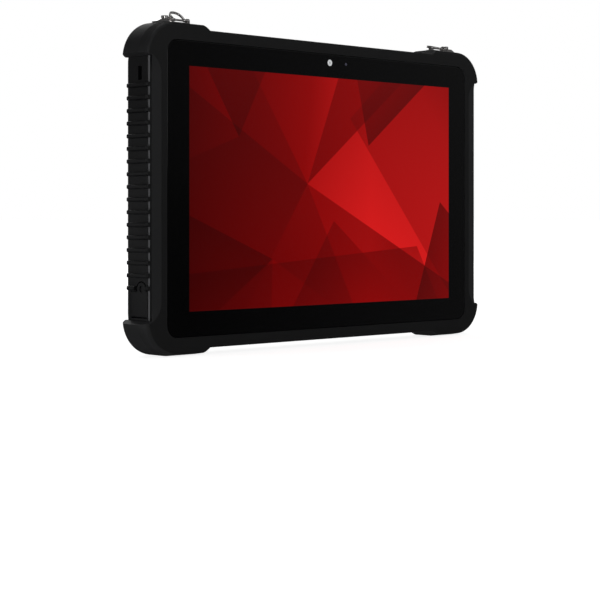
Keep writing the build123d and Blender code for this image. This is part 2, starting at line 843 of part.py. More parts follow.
def battery_case():
    """Battery pack's shell, with the finger grip and the notch for the contacts."""
    case = slab(battery_width, battery_height, battery_front_y, rear_face_y, battery_corner_radius,
                (0.0, battery_z))
    case = fillet(case.edges().group_by(Axis.Y)[-1], battery_edge_round)
    case -= battery_cells()
    reach = contact_count * contact_pitch / 2 + notch_play
    z_reach = contact_height / 2 + notch_play
    case -= block((-reach, reach), (battery_front_y, bay_floor_y + contact_proud + notch_play),
                  (contact_z - z_reach, contact_z + z_reach))
    grip_z = battery_z + battery_height / 2
    case -= block((-battery_grip_width / 2, battery_grip_width / 2),
                  (rear_face_y - battery_grip_depth, rear_face_y),
                  (grip_z - battery_grip_height, grip_z))
    return case


def battery_cells():
    """Cell block inside the pack, below the contact notch."""
    top = contact_z - contact_height / 2 - notch_play - battery_case_wall
    bottom = battery_z - battery_height / 2 + battery_case_wall
    reach = battery_width / 2 - battery_case_wall
    return block((-reach, reach), (battery_front_y + battery_case_wall, rear_face_y - battery_case_wall),
                 (bottom, top))


def battery_seal():
    """Flat seal bonded round the pack's inner face."""
    width = battery_width - 2 * battery_seal_inset
    height = battery_height - 2 * battery_seal_inset
    y_limits = (battery_front_y - battery_seal_thickness, battery_front_y)
    outer = slab(width, height, *y_limits, battery_corner_radius, (0.0, battery_z))
    width -= 2 * battery_seal_width
    height -= 2 * battery_seal_width
    return outer - slab(width, height, *y_limits, battery_seal_corner, (0.0, battery_z))


def battery_contacts():
    """Spring blades that stand on the floor of the battery bay."""
    blades = []
    for index in range(contact_count):
        x = (index - (contact_count - 1) / 2) * contact_pitch
        blades.append(block((x - contact_width / 2, x + contact_width / 2),
                            (bay_floor_y, bay_floor_y + contact_proud),
                            (contact_z - contact_height / 2, contact_z + contact_height / 2)))
    return Compound(children=blades)


def battery_latch():
    """Right-hand latch: a slider with grip bars."""
    latch = slab(latch_width, latch_height, rear_face_y - latch_thickness, rear_face_y,
                 latch_corner_radius, (latch_x, latch_z))
    for index in range(latch_grip_count):
        x = latch_x + (index - (latch_grip_count - 1) / 2) * 2 * latch_grip_width
        latch += block((x - latch_grip_width / 2, x + latch_grip_width / 2),
                       (rear_face_y, rear_face_y + latch_grip_proud),
                       (latch_z - latch_grip_height / 2, latch_z + latch_grip_height / 2))
    return latch


# ---- Side strips, doors, sockets and keys -----------------------------------------------------

def plain_strip():
    """Right-hand side strip: a bar in the side seats with a rim that shows from the front."""
    bar = block((strip_seat_x, half_length), (plate_y, strip_rear_y), (-strip_zspan, strip_zspan))
    rim = block((half_length - strip_rim, half_length), (strip_front_y, plate_y),
                (-strip_zspan, strip_zspan))
    strip = bar + rim
    outer = strip.edges().filter_by(Axis.Z).group_by(Axis.X)[-1]
    strip = chamfer(outer.sort_by(Axis.Y)[0], strip_rim_chamfer)
    outer = strip.edges().filter_by(Axis.Z).group_by(Axis.X)[-1]
    return fillet(outer.sort_by(Axis.Y)[-1], strip_edge_round)


def grip_rib():
    """One rib that wraps over both edges of the right-hand strip."""
    outer_x = half_length + rib_proud
    root_x = half_length - strip_rim + rib_root
    front = strip_front_y - rib_front_proud
    rear = strip_rear_y
    points = [(root_x, front), (outer_x - rib_corner, front), (outer_x, front + rib_corner),
              (outer_x, rear - rib_corner), (outer_x - rib_corner, rear), (root_x, rear)]
    profile = Polygon(*points, align=None)
    rib = Pos(0, 0, -rib_height / 2) * extrude(profile, amount=rib_height, dir=(0, 0, 1))
    long_edges = rib.edges().filter_by(Plane.XY).filter_by(lambda edge: edge.center().X > half_length)
    return fillet(long_edges, rib_round)


def left_strip():
    """Ribbed left-hand strip with the lock slot and the opening for the small door."""
    strip = mirror(plain_strip(), Plane.YZ)
    rib = mirror(grip_rib(), Plane.YZ)
    for index in range(rib_count):
        z = rib_middle_z + (index - (rib_count - 1) / 2) * rib_pitch
        strip += Pos(0, 0, z) * rib
    strip -= lock_slot()
    opening = left_door_outline(door_gap, left_tab_gap)
    strip -= extrude(opening, amount=2 * strip_depth, dir=(-1, 0, 0))
    strip -= extrude(opening, amount=strip_depth, dir=(1, 0, 0))
    start, end = left_hinge_ends(hinge_pin_grip)
    return strip - rod(hinge_pin_radius, start, end)


def left_door_outline(margin, tab_margin):
    """Door face on the left side: a rectangle with a round tab on its upper edge."""
    plane = Plane(origin=(-half_length, 0, 0), x_dir=(0, 1, 0), z_dir=(1, 0, 0))
    low = left_door_axis_z - knuckle_radius - margin
    high = left_door_top_z + margin
    face = Pos(left_door_y, (low + high) / 2) * Rectangle(left_door_width + 2 * margin, high - low)
    face += Pos(left_tab_y, left_tab_z) * Circle(left_tab_radius + tab_margin)
    return plane * face


def left_hinge_ends(reach):
    """Ends of the left door's hinge line, lengthened by reach at both ends."""
    half = left_door_width / 2 + reach
    return ((-knuckle_x, left_door_y - half, left_door_axis_z),
            (-knuckle_x, left_door_y + half, left_door_axis_z))


def left_door():
    """Small door on the left: plate, tab with a finger scoop, and hinge knuckle."""
    door = extrude(left_door_outline(0.0, 0.0), amount=door_thickness, dir=(1, 0, 0))
    door -= block((-half_length, door_thickness - half_length), (-thickness, thickness),
                  (left_door_axis_z - 2 * knuckle_radius, left_door_axis_z))
    door += rod(knuckle_radius, *left_hinge_ends(0.0))
    scoop_z = left_tab_z + left_tab_radius - 2 * left_tab_scoop_radius
    door -= rod(left_tab_scoop_radius, (-half_length, left_tab_y, scoop_z),
                (left_tab_scoop_depth - half_length, left_tab_y, scoop_z))
    return door - rod(hinge_pin_radius + hinge_clearance, *left_hinge_ends(0.0))


def left_door_seal():
    """Rubber rim on the inside of the left door."""
    outer_x = door_inner_x
    inner_x = door_inner_x - seal_thickness
    low = left_door_axis_z + knuckle_radius + seal_inset
    high = left_door_top_z - seal_inset / 2
    half = left_door_width / 2 - seal_inset
    ring = block((-outer_x, -inner_x), (left_door_y - half, left_door_y + half), (low, high))
    half -= seal_width
    return ring - block((-outer_x, -inner_x), (left_door_y - half, left_door_y + half),
                        (low + seal_width, high - seal_width))


def right_door_limits(margin):
    """Y and Z limits of the long door on the right."""
    return ((right_door_axis_y - right_door_width - margin, right_door_axis_y + knuckle_radius + margin),
            (right_door_z - right_door_length / 2 - margin, right_door_z + right_door_length / 2 + margin))


def right_hinge_ends(reach):
    """Ends of the right door's hinge line, lengthened by reach at both ends."""
    half = right_door_length / 2 + reach
    return ((knuckle_x, right_door_axis_y, right_door_z - half),
            (knuckle_x, right_door_axis_y, right_door_z + half))


def right_door():
    """Long door on the right over two sockets, hinged along its rear edge."""
    (front, rear), z_limits = right_door_limits(0.0)
    door = block((door_inner_x, half_length), (front, right_door_axis_y), z_limits)
    door = fillet(door.edges().filter_by(Axis.X).group_by(Axis.Y)[0], right_door_corner)
    door += rod(knuckle_radius, *right_hinge_ends(0.0))
    half = right_door_scoop_length / 2
    door -= block((half_length - right_door_scoop_depth, half_length),
                  (front, front + right_door_scoop_width),
                  (right_door_z - half, right_door_z + half))
    return door - rod(hinge_pin_radius + hinge_clearance, *right_hinge_ends(0.0))


def right_door_seal():
    """Rubber rim on the inside of the right door."""
    (front, rear), (low, high) = right_door_limits(-seal_inset)
    rear -= 2 * knuckle_radius
    x_limits = (door_inner_x - seal_thickness, door_inner_x)
    ring = block(x_limits, (front, rear), (low, high))
    return ring - block(x_limits, (front + seal_width, rear - seal_width),
                        (low + seal_width, high - seal_width))


def right_strip():
    """Smooth right-hand strip with openings for the keys and the long door."""
    strip = plain_strip()
    for z in key_heights.values():
        strip -= key_prism(key_length + 2 * key_gap, key_width + 2 * key_gap, strip_seat_x, half_length, z)
        room = 2 * (key_flange_reach + key_gap)
        flange_end = key_inner_x() + key_flange + key_flange_play
        strip -= key_prism(key_length + room, key_width + room, strip_seat_x, flange_end, z)
    y_limits, z_limits = right_door_limits(door_gap)
    strip -= block((strip_seat_x, half_length), y_limits, z_limits)
    return strip - rod(hinge_pin_radius, *right_hinge_ends(hinge_pin_grip))


def key_inner_x():
    """Inner face of the keys at rest: just past the wall face plus their travel."""
    return strip_seat_x + key_travel + key_seat_play


def key_prism(length, width, x_from, x_to, z):
    """Stadium-shaped bar that lies along X, centred on a key."""
    plane = Plane(origin=(x_from, key_y, z), x_dir=(0, 1, 0), z_dir=(1, 0, 0))
    outline = Rot(0, 0, 90) * SlotOverall(length, width)
    return extrude(plane * outline, amount=x_to - x_from)


def side_key(z):
    """Push key with a flange behind the strip."""
    inner = key_inner_x()
    cap = key_prism(key_length, key_width, inner, half_length + key_proud, z)
    cap = fillet(cap.edges().group_by(Axis.X)[-1], key_edge_round)
    reach = 2 * key_flange_reach
    return cap + key_prism(key_length + reach, key_width + reach, inner, inner + key_flange, z)


def key_board():
    """Switch board behind the keys, in its pocket in the wall."""
    low, high = key_span()
    inner = strip_seat_x - key_pocket_depth
    y_limits = (key_y - key_board_width / 2, key_y + key_board_width / 2)
    return block((inner, inner + key_board_thickness), y_limits, (low, high))


def key_switches():
    """Dome switches, one under each key; a key meets its dome at the end of its travel."""
    start = strip_seat_x - key_pocket_depth + key_board_thickness
    return Compound(children=[rod(key_switch_radius, (start, key_y, z), (strip_seat_x, key_y, z))
                              for z in key_heights.values()])


def socket(side, z, size, length):
    """Metal socket shell with its contact tongue, mouth towards the side."""
    height, width = size
    mouth = strip_seat_x - socket_set_back
    x_limits = (side * (mouth - length), side * mouth)
    shell = block(x_limits, (socket_y - width / 2, socket_y + width / 2), (z - height / 2, z + height / 2))
    shell = fillet(shell.edges().filter_by(Axis.X), width * socket_round_share)
    y_reach = width / 2 - socket_wall
    z_reach = height / 2 - socket_wall
    hollow = block((side * (mouth - length + socket_back_wall), side * mouth),
                   (socket_y - y_reach, socket_y + y_reach), (z - z_reach, z + z_reach))
    tongue = block((side * (mouth - length + socket_back_wall / 2), side * (mouth - socket_tongue_back)),
                   (socket_y - socket_tongue / 2, socket_y + socket_tongue / 2),
                   (z - z_reach * socket_tongue_share, z + z_reach * socket_tongue_share))
    return shell - hollow + tongue


# ---- Strap brackets and rings -----------------------------------------------------------------

def bracket():
    """Right-hand steel bracket: base plate, screw block with a ramp, and two knuckles for the ring's pin."""
    y_limits = (bracket_y - bracket_width / 2, bracket_y + bracket_width / 2)
    plate = block((bracket_inner_x, guard_corner_x), y_limits, (guard_top, guard_top + bracket_thickness))
    reach = bracket_ramp_end_x - guard_corner_x
    end_z = guard_corner_z + sqrt(guard_corner_radius ** 2 - reach ** 2)
    block_end_x = bracket_block_x + bracket_block_length
    plate += prism([(bracket_block_x, guard_top), (bracket_block_x, bracket_block_top),
                    (block_end_x, bracket_block_top), (bracket_ramp_end_x, end_z + bracket_end_thickness),
                    (bracket_ramp_end_x, guard_corner_z), (bracket_block_x, guard_corner_z)], *y_limits)
    plate -= rod(guard_corner_radius, (guard_corner_x, y_limits[0], guard_corner_z),
                 (guard_corner_x, y_limits[1], guard_corner_z))
    for start_x, radius in ((bracket_inner_x, inner_knuckle_radius), (outer_knuckle_x, outer_knuckle_radius)):
        x_limits = (start_x, start_x + ring_knuckle_length)
        plate += rod(radius, (x_limits[0], ring_axis_y, ring_axis_z), (x_limits[1], ring_axis_y, ring_axis_z))
        plate += block(x_limits, (ring_axis_y - radius, ring_axis_y + radius), (guard_top, ring_axis_z))
    plate -= block((bracket_inner_x, guard_corner_x), (front_y, rear_y), (guard_corner_z, guard_top))
    pin_end_x = outer_knuckle_x + ring_knuckle_length
    plate -= rod(ring_pin_radius + hinge_clearance, (bracket_inner_x, ring_axis_y, ring_axis_z),
                 (pin_end_x, ring_axis_y, ring_axis_z))
    return plate - bracket_screw_hole()


def bracket_screw_hole():
    """Hole for the bracket's screw, through the block and bumper into the housing."""
    return rod(bracket_screw_radius, (bracket_screw_x, bracket_y, bracket_screw_end_z),
               (bracket_screw_x, bracket_y, bracket_block_top))


def strap_ring(lean):
    """Right-hand wire D-ring with its pin, leaning back by an angle above level."""
    reach = (ring_width - ring_eye_length) / 2
    path = FilletPolyline((-reach, 0, 0), (-reach, ring_reach, 0), (reach, ring_reach, 0), (reach, 0, 0),
                          radius=ring_corner_radius)
    wire = sweep(Plane(origin=(-reach, 0, 0), z_dir=(0, 1, 0)) * Circle(ring_wire_radius), path=path)
    pin_reach = ring_width / 2 + ring_side_gap + ring_knuckle_length
    ring = wire + rod(ring_pin_radius, (-pin_reach, 0, 0), (pin_reach, 0, 0))
    for x in (-reach, reach):
        ring += rod(ring_eye_radius, (x - ring_eye_length / 2, 0, 0), (x + ring_eye_length / 2, 0, 0))
    return Pos(ring_centre_x, ring_axis_y, ring_axis_z) * Rot(lean, 0, 0) * ring


def bracket_screw():
    """Screw that holds the right-hand bracket to the bumper."""
    top = bracket_block_top + bracket_head_height
    head = rod(bracket_head_radius, (bracket_screw_x, bracket_y, bracket_block_top),
               (bracket_screw_x, bracket_y, top))
    head = fillet(head.edges().group_by(Axis.Z)[-1], bracket_head_round)
    recess = Plane(origin=(bracket_screw_x, bracket_y, top), z_dir=(0, 0, 1))
    recess = extrude(recess * RegularPolygon(screw_recess_radius, 6), amount=-screw_recess_depth)
    return bracket_screw_hole() + head - recess


# ---- Assembly ---------------------------------------------------------------------------------

def assemble():
    """Every sub-part by its name."""
    envelope = guard_envelope()
    bumper = upper_right_bumper(envelope)
    top_bumper = bumper - bracket_screw_hole()
    low_bumper = mirror(bumper, Plane.XY)
    parts = {
        "front_frame": front_frame(envelope),
        "cover_glass": cover_glass(),
        "glass_tape": glass_tape(),
        "display_panel": slab(panel_width, panel_height, glass_rear_y, panel_rear_y, panel_corner_radius),
        "chassis": chassis(),
        "main_board": main_board(),
        "board_screws": board_screws(),
        "shield_cans": shield_cans(),
        "heat_spreader": slab(spreader_width, spreader_height, can_rear_y, can_rear_y + spreader_thickness,
                              spreader_corner_radius, (0.0, board_z)),
        "display_flex": display_flex(),
        "gnss_antenna": slab(antenna_size, antenna_size, inner_rear_y - antenna_thickness, inner_rear_y,
                             antenna_corner_radius, (antenna_x, antenna_z)),
        "rear_cover": rear_cover(),
        "housing_seal": seal_ring(),
        "housing_screws": housing_screws(),
        "bumper_top_right": top_bumper,
        "bumper_top_left": mirror(top_bumper, Plane.YZ),
        "bumper_bottom_right": low_bumper,
        "bumper_bottom_left": mirror(low_bumper, Plane.YZ),
        "grip_strip_left": left_strip(),
        "side_strip_right": right_strip(),
        "lock_plate": lock_plate(),
        "speaker_right": speaker(),
        "speaker_left": mirror(speaker(), Plane.YZ),
        "strap_inserts": strap_inserts(),
        "dock_plate": dock_plate(),
        "dock_pads": dock_pads(),
        "battery_case": battery_case(),
        "battery_cells": battery_cells(),
        "battery_seal": battery_seal(),
        "battery_contacts": battery_contacts(),
        "battery_latch_right": battery_latch(),
        "battery_latch_left": mirror(battery_latch(), Plane.YZ),
        "door_left": left_door(),
        "door_left_seal": left_door_seal(),
        "door_left_pin": rod(hinge_pin_radius, *left_hinge_ends(hinge_pin_grip)),
        "door_right": right_door(),
        "door_right_seal": right_door_seal(),
        "door_right_pin": rod(hinge_pin_radius, *right_hinge_ends(hinge_pin_grip)),
        "usb_c_socket": socket(-1, left_door_axis_z + left_door_height / 2, usb_c_size, usb_c_length),
        "usb_a_socket": socket(1, usb_a_z, usb_a_size, long_socket_length),
        "hdmi_socket": socket(1, hdmi_z, hdmi_size, long_socket_length),
        "key_board": key_board(),
        "key_switches": key_switches(),
        "strap_bracket_right": bracket(),
        "strap_bracket_left": mirror(bracket(), Plane.YZ),
        "strap_ring_right": strap_ring(ring_lean["right"]),
        "strap_ring_left": mirror(strap_ring(ring_lean["left"]), Plane.YZ),
        "bracket_screws": Compound(children=[bracket_screw(), mirror(bracket_screw(), Plane.YZ)]),
    }
    parts.update(front_windows())
    parts.update(rear_camera_pieces())
    for name, z in key_heights.items():
        parts[name] = side_key(z)
    return parts


os.makedirs("parts", exist_ok=True)
for name, shape in assemble().items():
    export_step(Pos(0, 0, stand_height) * shape, "parts/" + name + ".step")
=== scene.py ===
import json
import math

import bpy
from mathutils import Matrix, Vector


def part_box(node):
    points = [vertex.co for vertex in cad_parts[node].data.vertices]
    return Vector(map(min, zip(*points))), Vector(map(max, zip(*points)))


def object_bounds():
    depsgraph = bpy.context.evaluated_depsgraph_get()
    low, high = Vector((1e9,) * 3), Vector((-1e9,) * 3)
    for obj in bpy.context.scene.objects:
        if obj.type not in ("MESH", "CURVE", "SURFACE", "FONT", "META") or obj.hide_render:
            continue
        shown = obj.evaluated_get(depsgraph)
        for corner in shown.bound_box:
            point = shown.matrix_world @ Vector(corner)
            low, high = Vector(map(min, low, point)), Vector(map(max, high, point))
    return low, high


# Rugged field tablet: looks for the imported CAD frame. Metres, in the frame of the CAD part:
# +X right along the long side, +Y from the screen to the back, +Z up from the surface it stands on.

# ---- Camera -----------------------------------------------------------------------------------
CAMERA_PLACE = (-0.6715, -0.6885, 0.0766)
CAMERA_TURN = -43.69           # degrees from +Y, level with the horizon
CAMERA_LENS = 95.65            # mm, for a 36 mm wide sensor
CAMERA_SENSOR = 36.0
CAMERA_SHIFT_Y = -0.1386

# ---- Studio -----------------------------------------------------------------------------------
BACKDROP = (1.0, 1.0, 1.0)
ROOM_LOW = 0.020               # room brightness low on the left of the tablet's reflections
ROOM_HIGH_LIFT = 0.038         # how much brighter it is above the horizon
ROOM_RIGHT_LIFT = 0.055        # and towards the right
ROOM_RISE = (-0.03, 0.09)      # upward part of the direction over which it grows brighter
ROOM_TURN = (0.64, 0.77)       # rightward part of the direction over which it grows brighter
FLOOR_RADIUS = 30.0
FLOOR_GLOW_NEAR = 0.86
FLOOR_GLOW_FAR = 1.0
FLOOR_GLOW_REACH = (0.35, 1.1)  # metres from the tablet over which the glow rises
LEFT_AIM = 0.2                 # share of the tablet's height at which the left light aims

# ---- Lit area of the screen -------------------------------------------------------------------
ACTIVE_WIDTH = 0.21696
ACTIVE_HEIGHT = 0.1356
SCREEN_GLOW = 1.0
SCREEN_LIGHT = (0.145, 0.495)   # brightness of the picture at its left edge and from its middle on
SCREEN_LIGHT_END = ACTIVE_WIDTH / 6
FACET_FADE = 0.15               # what is left of a facet's gain where its shade ends
SCREEN_SHADES = [               # brightness and colour of the picture
    (0.0, (0.004, 0.0, 0.0, 1.0)),
    (0.5, (0.24, 0.0004, 0.0005, 1.0)),
    (1.0, (0.80, 0.012, 0.012, 1.0)),
]
INK_SHADES = ((0.0006, 0.0006, 0.0008, 1.0), (0.0013, 0.0013, 0.0015, 1.0))

# Facets of the red picture, in metres from the middle of the screen. Each is a wedge: its tip, the
# directions of its first and last edge in degrees, how far its shade runs from the first edge, and gain.
FACETS = [
    ((-0.072, 0.030), 122, 200, 0.060, 0.30),
    ((-0.072, 0.030), 62, 122, 0.050, -0.30),
    ((-0.018, 0.004), 68, 124, 0.090, 0.42),
    ((-0.018, 0.004), -26, 38, 0.110, 0.72),
    ((-0.018, 0.004), -62, -26, 0.050, 0.30),
    ((0.034, 0.028), 38, 104, 0.070, -0.55),
    ((0.018, 0.044), -50, 40, 0.060, -0.20),
    ((-0.018, 0.004), 150, 236, 0.070, -0.30),
    ((-0.046, -0.040), 158, 214, 0.060, -0.40),
    ((-0.046, -0.040), 268, 330, 0.050, 0.25),
    ((0.004, -0.018), 236, 322, 0.060, -0.28),
    ((0.078, -0.034), 184, 300, 0.050, -0.30),
    ((0.100, -0.006), 250, 320, 0.060, -0.55),
]

# ---- Front frame and side strips --------------------------------------------------------------
# The front frame's sloped bands are painted lighter and its flat face darker: painted light and shade.
BAND_TILT = (0.03, 0.10)       # sideways part of the normal, from the flat face to the sloped band
BAND_PAINTED_LIGHT_SHARE = 0.65              # how strongly the bands differ from the flat face
# The rim values below place a painted highlight: a pale line painted on the chamfer along each side strip's
# front outer edge.
RIM_CHAMFER = 0.0009           # along the strips' front outer edges
RIM_WIDTH = 0.00062            # how far back from the strip's front the pale line runs
RIM_PLAY = 0.0003              # distance from the chamfer's plane that still counts as on it
RIM_FACING = 1.35              # sum of the normal's outward and forward parts on the chamfer
RIM_PAINTED_HIGHLIGHT = (0.085, 0.086, 0.092, 1.0)

# ---- Battery shell ----------------------------------------------------------------------------
BATTERY_RIB_PITCH = 0.0042
BATTERY_RIB_SHARE = 0.30       # share of the shell's height, from below, that has ribs
BATTERY_RIB_HEIGHT = 0.0004


# ---- Node helpers -----------------------------------------------------------------------------

class Graph:
    """A node tree and short ways to add nodes to it."""

    def __init__(self, tree):
        self.nodes = tree.nodes
        self.links = tree.links

    def feed(self, socket, value):
        """Gives a socket a number, a colour or another node's output."""
        if isinstance(value, bpy.types.NodeSocket):
            self.links.new(value, socket)
        else:
            socket.default_value = value

    def math(self, operation, *values, clamp=False):
        node = self.nodes.new("ShaderNodeMath")
        node.operation = operation
        node.use_clamp = clamp
        for socket, value in zip(node.inputs, values):
            self.feed(socket, value)
        return node.outputs[0]

    def spread(self, value, low, high, to_low, to_high):
        """Maps low..high to to_low..to_high, clamped."""
        node = self.nodes.new("ShaderNodeMapRange")
        self.feed(node.inputs["Value"], value)
        for name, number in (("From Min", low), ("From Max", high), ("To Min", to_low), ("To Max", to_high)):
            node.inputs[name].default_value = number
        return node.outputs["Result"]

    def parts(self, vector):
        """X, Y and Z of a vector."""
        node = self.nodes.new("ShaderNodeSeparateXYZ")
        self.links.new(vector, node.inputs["Vector"])
        return node.outputs[0], node.outputs[1], node.outputs[2]


class Recipe(Graph):
    """A material being made, with its main shader."""

    def __init__(self, name):
        self.material = bpy.data.materials.new(name)
        self.material.use_nodes = True
        super().__init__(self.material.node_tree)
        self.shader = self.nodes["Principled BSDF"]
        self.place = self.nodes.new("ShaderNodeTexCoord").outputs["Object"]

    def noise(self, scale, detail=3.0, stretch=(1.0, 1.0, 1.0)):
        """Noise whose grains are about 1 / scale metres across."""
        mapping = self.nodes.new("ShaderNodeMapping")
        mapping.inputs["Scale"].default_value = stretch
        self.links.new(self.place, mapping.inputs["Vector"])
        node = self.nodes.new("ShaderNodeTexNoise")
        node.inputs["Scale"].default_value = scale
        node.inputs["Detail"].default_value = detail
        self.links.new(mapping.outputs["Vector"], node.inputs["Vector"])
        return node.outputs["Fac"]

    def mix(self, share, first, second):
        node = self.nodes.new("ShaderNodeMix")
        node.data_type = "RGBA"
        self.feed(node.inputs[0], share)
        self.feed(node.inputs[6], first)
        self.feed(node.inputs[7], second)
        return node.outputs[2]

    def edges(self, radius):
        """1 on convex and concave edges and 0 on flats, from the angle to a rounded normal."""
        soft = self.nodes.new("ShaderNodeBevel")
        soft.samples = 4
        soft.inputs["Radius"].default_value = radius
        sharp = self.nodes.new("ShaderNodeNewGeometry")
        dot = self.nodes.new("ShaderNodeVectorMath")
        dot.operation = "DOT_PRODUCT"
        self.links.new(soft.outputs["Normal"], dot.inputs[0])
        self.links.new(sharp.outputs["Normal"], dot.inputs[1])
        return self.spread(dot.outputs["Value"], 0.98, 0.80, 0.0, 1.0)

    def bump(self, height, distance, strength=1.0, over=None):
        node = self.nodes.new("ShaderNodeBump")
        node.inputs["Strength"].default_value = strength
        node.inputs["Distance"].default_value = distance
        self.feed(node.inputs["Height"], height)
        if over is not None:
            self.links.new(over, node.inputs["Normal"])
        return node.outputs["Normal"]

    def split(self):
        """X, Y and Z of a point of the surface, in metres."""
        return self.parts(self.place)

    def facing(self):
        """X, Y and Z of the surface's normal."""
        return self.parts(self.nodes.new("ShaderNodeNewGeometry").outputs["Normal"])

    def set(self, **values):
        """Sets the main shader's sockets; Base_Color stands for Base Color."""
        for name, value in values.items():
            self.feed(self.shader.inputs[name.replace("_", " ")], value)
        return self


def rim_highlight_mask(recipe):
    """Mask of the painted highlight: 1 on the chamfer along the front edge of both side strips, 0 elsewhere.
    """
    low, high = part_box("side_strip_right")
    corner = high.x - low.y - RIM_CHAMFER
    x, y, _ = recipe.split()
    out = recipe.math("SUBTRACT", recipe.math("ABSOLUTE", x), y)
    off = recipe.math("ABSOLUTE", recipe.math("SUBTRACT", out, corner))
    near = recipe.math("LESS_THAN", off, RIM_PLAY)
    near = recipe.math("MULTIPLY", near, recipe.math("LESS_THAN", y, low.y + RIM_WIDTH))
    normal_x, normal_y, _ = recipe.facing()
    facing = recipe.math("SUBTRACT", recipe.math("ABSOLUTE", normal_x), normal_y)
    return recipe.math("MULTIPLY", near, recipe.math("GREATER_THAN", facing, RIM_FACING))


def slope_light_mask(recipe):
    """Mask for painted light and shade: 1 on the sloped bands along the short sides of the front frame, 0 on
    its flat face.
    """
    sideways, _, _ = recipe.facing()
    return recipe.spread(recipe.math("ABSOLUTE", sideways), *BAND_TILT, 0.0, 1.0)


def shade(colour, factor):
    return tuple(min(1.0, part * factor) for part in colour[:3]) + (1.0,)


# ---- Materials --------------------------------------------------------------------------------

def moulded(name, colour, roughness, grain, depth, wear=0.0, rim=False, bands=False):
    """Moulded plastic or rubber: fine grain, cloudy tone, rubbed edges and a little handling polish.

    rim adds a painted highlight, a pale line on the strips' chamfers, and bands paints the front frame's
    sloped bands lighter and its flat face darker, as painted light and shade.
    """
    recipe = Recipe(name)
    cloud = recipe.noise(45.0, 4.0)
    fine = recipe.noise(grain, 2.0)
    tone = recipe.mix(recipe.spread(cloud, 0.3, 0.7, 0.0, 1.0), shade(colour, 0.86), shade(colour, 1.16))
    tone = recipe.mix(recipe.spread(fine, 0.35, 0.65, 0.0, 0.35), tone, shade(colour, 1.3))
    polish = recipe.spread(recipe.noise(14.0, 5.0), 0.35, 0.7, roughness + 0.05, roughness - 0.07)
    if wear:
        rubbed = recipe.math("MULTIPLY", recipe.edges(0.0007), wear)
        rubbed = recipe.math("MULTIPLY", rubbed, recipe.spread(recipe.noise(160.0, 4.0), 0.3, 0.7, 0.45, 1.0))
        tone = recipe.mix(rubbed, tone, shade(colour, 3.2))
        polish = recipe.math("SUBTRACT", polish, recipe.math("MULTIPLY", rubbed, 0.16), clamp=True)
    # Painted light and shade: a lit copy of the colour on the sloped bands and a shaded copy on the flat
    # face.
    if bands:
        sloped = recipe.mix(slope_light_mask(recipe), shade(colour, 0.45), shade(colour, 1.75))
        tone = recipe.mix(BAND_PAINTED_LIGHT_SHARE, tone, sloped)
    # Painted highlight: the strips' front chamfers get a pale colour in place of a lamp's highlight.
    if rim:
        painted_highlight = recipe.math("MULTIPLY", rim_highlight_mask(recipe), recipe.spread(cloud, 0.3, 0.6, 0.8, 1.0))
        tone = recipe.mix(painted_highlight, tone, RIM_PAINTED_HIGHLIGHT)
    normal = recipe.bump(fine, depth)
    normal = recipe.bump(recipe.noise(120.0, 2.0), depth * 1.5, 0.5, over=normal)
    recipe.set(Base_Color=tone, Roughness=polish, Normal=normal)
    return recipe.material


def metal(name, colour, roughness, brush=None, depth=0.00001):
    """Metal with fine scratches; brush stretches them along one direction."""
    recipe = Recipe(name)
    lines = recipe.noise(420.0, 3.0, stretch=brush or (1.0, 1.0, 1.0))
    smudge = recipe.noise(60.0, 4.0)
    tone = recipe.mix(recipe.spread(smudge, 0.3, 0.75, 0.0, 1.0), shade(colour, 1.05), shade(colour, 0.72))
    worn = recipe.spread(lines, 0.3, 0.7, roughness - 0.06, roughness + 0.1)
    recipe.set(Base_Color=tone, Metallic=1.0, Roughness=worn, Normal=recipe.bump(lines, depth))
    return recipe.material


def side_of(recipe, across, up, point, angle):
    """Distance of a surface point to the left of the line through point along angle."""
    turn = math.radians(angle)
    side_x = recipe.math("MULTIPLY", recipe.math("SUBTRACT", across, point[0]), -math.sin(turn))
    side_z = recipe.math("MULTIPLY", recipe.math("SUBTRACT", up, point[1]), math.cos(turn))
    return recipe.math("ADD", side_x, side_z)


